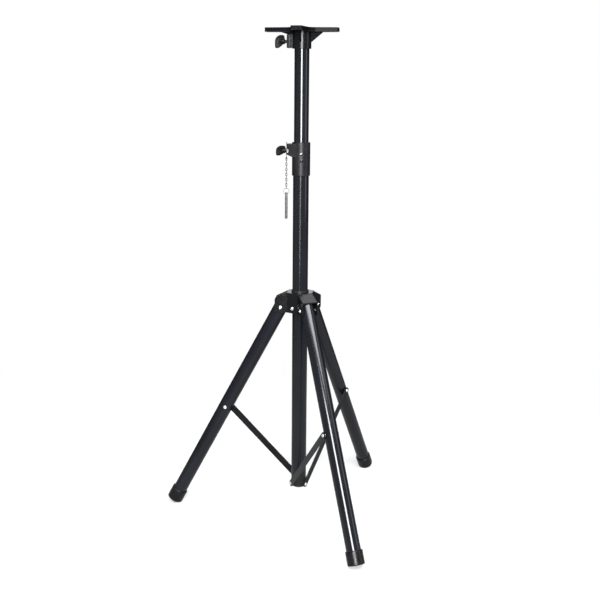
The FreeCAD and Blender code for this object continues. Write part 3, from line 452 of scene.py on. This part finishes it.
def add_rivets():
    """Every rivet, on the body that carries it."""
    pivots, webs, feet = bmesh.new(), bmesh.new(), bmesh.new()
    for name in LEG_NAMES:
        pivot = Vector(JOINTS["leg_fold_" + name]["pos_m"])
        outward, down = leg_down(name)
        side = Vector(JOINTS["brace_fold_" + name]["axis"])
        middle = Vector((0, 0, pivot.z))
        rivet(pivots, pivot, side, -WING_HALF, WING_HALF, PIVOT_PIN_R, second_head=True)
        rivet(webs, middle, -outward, WEB_RIVET_ROOT, WEB_R, PIN_R)
        low_pin = Vector(JOINTS["brace_fold_" + name]["pos_m"])
        rivet(feet, low_pin, side, BRACKET_HOLE_ROOT, BRACE_OUTER + HEAD_PLAY, PIN_R)
        high_pin = pivot + down * BRACE_PIN_DOWN_LEG * MM
        stud = bmesh.new()
        rivet(stud, high_pin, side, BRACE_INNER, BRACE_OUTER, PIN_R)
        piece_from(stud, "brace_rivet_" + name, "brace_" + name, "zinc_steel", ["brace_stud_" + name])
        pin = bmesh.new()
        rivet(pin, high_pin, -side, -BRACE_INNER + OPEN_GAP, LEG_R, PIN_R)
        turned(pin, [(0.0, LEG_R + 0.05), (HEAD_R, LEG_R + 0.05), (HEAD_R, BRACE_INNER - OPEN_GAP - 0.3),
                     (HEAD_R - 0.3, BRACE_INNER - OPEN_GAP), (0.0, BRACE_INNER - OPEN_GAP)],
               stand_at(high_pin, side))
        piece_from(pin, "leg_rivet_" + name, "leg_" + name, "zinc_steel", ["leg_pin_" + name])
    piece_from(pivots, "hub_pivot_rivets", "hub", "zinc_steel", ["pivot_rivets"])
    piece_from(webs, "hub_web_rivets", "hub", "zinc_steel", ["web_rivets"])
    piece_from(feet, "bracket_rivets", "column", "zinc_steel", ["bottom_rivets"])


# ---- thumb screws -----------------------------------------------------------------------
def threaded(mesh, start, end, placed, steps=24, rows_per_turn=8):
    """A stud with a helical thread, run out at both ends."""
    rings = [ring_of(mesh, 0, start, steps, placed)]
    rows = round((end - start) / THREAD_PITCH * rows_per_turn)
    for row in range(rows + 1):
        height = start + (end - start) * row / rows
        from_end = min(row, rows - row) / rows_per_turn
        depth = THREAD_DEPTH * min(1.0, from_end)
        chamfer = max(0.0, 0.8 - 0.8 * from_end)
        ring = []
        for step in range(steps):
            turn = 2 * math.pi * step / steps
            phase = ((height - start) / THREAD_PITCH - step / steps) % 1.0
            radius = SCREW_R - chamfer - depth * (1 - abs(2 * phase - 1))
            point = Vector((radius * math.cos(turn), radius * math.sin(turn), height))
            ring.append(mesh.verts.new(placed @ point))
        rings.append(ring)
    rings.append(ring_of(mesh, 0, end, steps, placed))
    for first, second in zip(rings, rings[1:]):
        bridge(mesh, first, second)


def leaf_outline(bow_steps=26, side_steps=5, easing=3):
    """Outline of the thumb knob's leaf as (out, up) points, with eased corners."""
    lean = math.acos(-KNOB_BOW_X / KNOB_BOW_R)
    arc = [lean * (1 - step / bow_steps) for step in range(bow_steps + 1)]
    bow = [Vector((KNOB_BOW_X + KNOB_BOW_R * math.cos(turn), KNOB_BOW_R * math.sin(turn))) for turn in arc]
    corners = [bow[-1], Vector((bow[-1].x, -KNOB_BOW_R)), Vector((KNOB_TIP_X, -KNOB_BOW_R)),
               Vector((0, KNOB_INNER_LOW)), bow[0]]
    points = bow[:-1]
    for first, second in zip(corners, corners[1:]):
        points += [first.lerp(second, step / side_steps) for step in range(side_steps)]
    for _ in range(easing):
        points = [(points[i - 1] + points[i] * 2 + points[(i + 1) % len(points)]) / 4
                  for i in range(len(points))]
    return points


def add_knob(name):
    """Leaf-shaped knob with a rolled rim and dished faces, blended into its round boss."""
    clamp = CLAMPS[name]
    joint = JOINTS[name + "_knob_turn"]
    out = Vector(joint["axis"])
    roll = Matrix.Rotation(math.radians(clamp["roll"]), 3, out)
    up = roll @ Z_AXIS
    across = up.cross(out)
    start = Vector(joint["pos_m"]) + out * clamp["start"] * MM
    outline = leaf_outline()
    levels = [(scale, -half) for scale, half in reversed(KNOB_RIM[1:])] + KNOB_RIM
    mesh = bmesh.new()

    def spot(point, half):
        return mesh.verts.new(start + (out * point.x + up * point.y + across * half) * MM)

    rings = [[spot(KNOB_MIDDLE + (point - KNOB_MIDDLE) * scale, half) for point in outline]
             for scale, half in levels]
    rings = [[spot(KNOB_MIDDLE, levels[0][1])]] + rings + [[spot(KNOB_MIDDLE, levels[-1][1])]]
    for first, second in zip(rings, rings[1:]):
        bridge(mesh, first, second)
    boss = [(0.0, KNOB_HUB_START), (KNOB_HUB_R - 0.8, KNOB_HUB_START), (KNOB_HUB_R, KNOB_HUB_START + 0.8),
            (KNOB_HUB_R, 5.0), (KNOB_HUB_R - 0.5, 9.0), (KNOB_HUB_R - 2.0, 11.3), (0.0, KNOB_HUB_END)]
    turned(mesh, boss, stand_at(start, out))
    knob = piece_from(mesh, name + "_thumb_knob", name + "_clamp", "knob_plastic", [name + "_knob"])
    blend = knob.modifiers.new("blend", "REMESH")
    blend.mode = "VOXEL"
    blend.voxel_size = KNOB_VOXEL * MM
    blend.use_smooth_shade = True
    ease = knob.modifiers.new("ease", "SMOOTH")
    ease.factor = 0.5
    ease.iterations = KNOB_SMOOTH_STEPS


def add_thumb_screws():
    """Knob and threaded stud of each clamp."""
    for name, clamp in CLAMPS.items():
        add_knob(name)
        joint = JOINTS[name + "_knob_turn"]
        mesh = bmesh.new()
        threaded(mesh, clamp["tube_r"] + PAD_THICK + STUD_GAP, clamp["start"] + SCREW_DEPTH,
                 stand_at(Vector(joint["pos_m"]), joint["axis"]))
        piece_from(mesh, name + "_threaded_stud", name + "_clamp", "zinc_steel", [name + "_screw"],
                   MATERIALS["stud"])


# ---- split ring ---------------------------------------------------------------------------
def add_split_ring(steps_per_turn=48, wire_steps=10):
    """Two turns of wire that lie side by side, with cut ends."""
    low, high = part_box("split_ring")
    centre = (low + high) / 2
    ring_r = (high.z - low.z) / 2 - (high.y - low.y) / 2
    spread = (high.y - low.y) / 2 - RING_WIRE_R * MM
    mesh = bmesh.new()
    rings = []
    total = round(RING_TURNS * steps_per_turn)
    for step in range(total + 1):
        turn = 2 * math.pi * RING_TURNS * step / total
        away = Vector((math.sin(turn), 0, -math.cos(turn)))
        offset = Y_AXIS * spread * (2 * step / total - 1)
        middle = centre + away * ring_r + offset
        around = [2 * math.pi * i / wire_steps for i in range(wire_steps)]
        rings.append([mesh.verts.new(middle + (away * math.cos(a) + Y_AXIS * math.sin(a)) * RING_WIRE_R * MM)
                      for a in around])
    for first, second in zip(rings, rings[1:]):
        bridge(mesh, first, second)
    for end in (rings[0], rings[-1]):
        mesh.faces.new(end)
    piece_from(mesh, "split_ring_wire", "pin_ring", "chain_steel", ["split_ring"])


# ---- stage ------------------------------------------------------------------------
def add_floor():
    """Pale floor that fades into the backdrop; the object's rays see it dimmer than the camera does, as a painted
    glow brightest near the stand and dimmer behind it.
    """
    mesh = bpy.data.meshes.new("floor")
    corners = [(x * FLOOR_REACH, y * FLOOR_REACH, 0) for x, y in ((-1, -1), (1, -1), (1, 1), (-1, 1))]
    mesh.from_pydata(corners, [], [(0, 1, 2, 3)])
    floor = bpy.data.objects.new("floor", mesh)
    bpy.context.scene.collection.objects.link(floor)
    graph = Graph("pale_floor")
    graph.fixed(Base_Color=(0.80, 0.80, 0.80, 1.0), Roughness=0.9, Specular_IOR_Level=0.1)
    away = graph.add("ShaderNodeVectorMath", operation="LENGTH")
    graph.join(graph.place, away.inputs[0])
    glow = graph.add("ShaderNodeEmission")
    glow.inputs["Color"].default_value = (*BACKDROP, 1.0)
    glow.inputs["Strength"].default_value = 1.0
    shown = graph.add("ShaderNodeMixShader")
    graph.join(graph.remap(away.outputs["Value"], 0.2, 1.6, 0.35, 1.0), shown.inputs["Fac"])
    graph.join(graph.shader.outputs["BSDF"], shown.inputs[1])
    graph.join(glow.outputs["Emission"], shown.inputs[2])
    split = graph.add("ShaderNodeSeparateXYZ")
    graph.join(graph.place, split.inputs["Vector"])
    # painted pool of light: the glow is brighter near the stand, dimmer further off and behind it
    near = graph.remap(away.outputs["Value"], 1.9, 0.5, FLOOR_GLOW_FAR, FLOOR_GLOW_NEAR)
    behind = graph.remap(split.outputs["Y"], 1.5, 0.1, FLOOR_GLOW_BEHIND, 1.0)
    # the floor glows for the object's rays though it is no lamp: a painted glow that the object reflects
    painted_floor_glow = graph.add("ShaderNodeEmission")
    graph.join(graph.maths("MULTIPLY", near, behind), painted_floor_glow.inputs["Strength"])
    rays = graph.add("ShaderNodeLightPath")
    blend = graph.add("ShaderNodeMixShader")
    graph.join(rays.outputs["Is Camera Ray"], blend.inputs["Fac"])
    graph.join(painted_floor_glow.outputs["Emission"], blend.inputs[1])
    graph.join(shown.outputs["Shader"], blend.inputs[2])
    graph.join(blend.outputs["Shader"], graph.tree.nodes["Material Output"].inputs["Surface"])
    mesh.materials.append(graph.material)


def add_world():
    """White backdrop; what the object reflects is dim, and dimmer behind."""
    world = bpy.data.worlds.new("studio")
    world.use_nodes = True
    bpy.context.scene.world = world
    tree = world.node_tree
    tree.nodes.clear()

    def add(kind, **settings):
        node = tree.nodes.new(kind)
        for key, value in settings.items():
            setattr(node, key, value)
        return node

    coords = add("ShaderNodeTexCoord")
    split = add("ShaderNodeSeparateXYZ")
    tree.links.new(coords.outputs["Generated"], split.inputs["Vector"])
    front = add("ShaderNodeMapRange", interpolation_type="SMOOTHSTEP")
    tree.links.new(split.outputs["Y"], front.inputs["Value"])
    front.inputs["From Min"].default_value = 0.6
    front.inputs["From Max"].default_value = -0.4
    front.inputs["To Min"].default_value = BACK_GLOW
    front.inputs["To Max"].default_value = FRONT_GLOW
    ambient = add("ShaderNodeBackground")
    ambient.inputs["Color"].default_value = (*AMBIENT, 1.0)
    tree.links.new(front.outputs["Result"], ambient.inputs["Strength"])
    seen = add("ShaderNodeBackground")
    seen.inputs["Color"].default_value = (*BACKDROP, 1.0)
    rays = add("ShaderNodeLightPath")
    blend = add("ShaderNodeMixShader")
    tree.links.new(rays.outputs["Is Camera Ray"], blend.inputs["Fac"])
    tree.links.new(ambient.outputs["Background"], blend.inputs[1])
    tree.links.new(seen.outputs["Background"], blend.inputs[2])
    output = add("ShaderNodeOutputWorld")
    tree.links.new(blend.outputs["Shader"], output.inputs["Surface"])


def add_light(name, place, target, size, radiance):
    """A soft box of a given size and brightness, aimed at a point."""
    light = bpy.data.lights.new(name, "AREA")
    light.shape = "RECTANGLE"
    light.size, light.size_y = size
    light.energy = radiance * math.pi * size[0] * size[1]
    lamp = bpy.data.objects.new(name, light)
    bpy.context.scene.collection.objects.link(lamp)
    lamp.location = place
    aim = Vector(target) - Vector(place)
    lamp.rotation_euler = aim.to_track_quat("-Z", "Y").to_euler()
    lamp.visible_camera = False


def add_lights():
    """Every lamp of the studio."""
    for name, place, target, size, radiance in LIGHTS:
        add_light(name, place, target, size, radiance)


def add_camera():
    """Front view from head height, tilted down and rolled a little."""
    forward = Vector((0, math.cos(CAMERA_PITCH), -math.sin(CAMERA_PITCH)))
    level = X_AXIS.copy()
    upright = level.cross(forward)
    right = level * math.cos(CAMERA_ROLL) + upright * math.sin(CAMERA_ROLL)
    up = upright * math.cos(CAMERA_ROLL) - level * math.sin(CAMERA_ROLL)
    data = bpy.data.cameras.new("camera")
    data.lens = CAMERA_LENS
    data.sensor_width = SENSOR_WIDTH
    camera = bpy.data.objects.new("camera", data)
    bpy.context.scene.collection.objects.link(camera)
    basis = Matrix((right, up, -forward)).transposed().to_4x4()
    camera.matrix_world = Matrix.Translation(CAMERA_PLACE) @ basis
    bpy.context.scene.camera = camera


# ---- the scene -----------------------------------------------------------------------
bpy.context.scene.view_settings.view_transform = "Standard"
dress_frame()
add_rivets()
add_thumb_screws()
add_split_ring()
add_world()
add_floor()
add_lights()
add_camera()
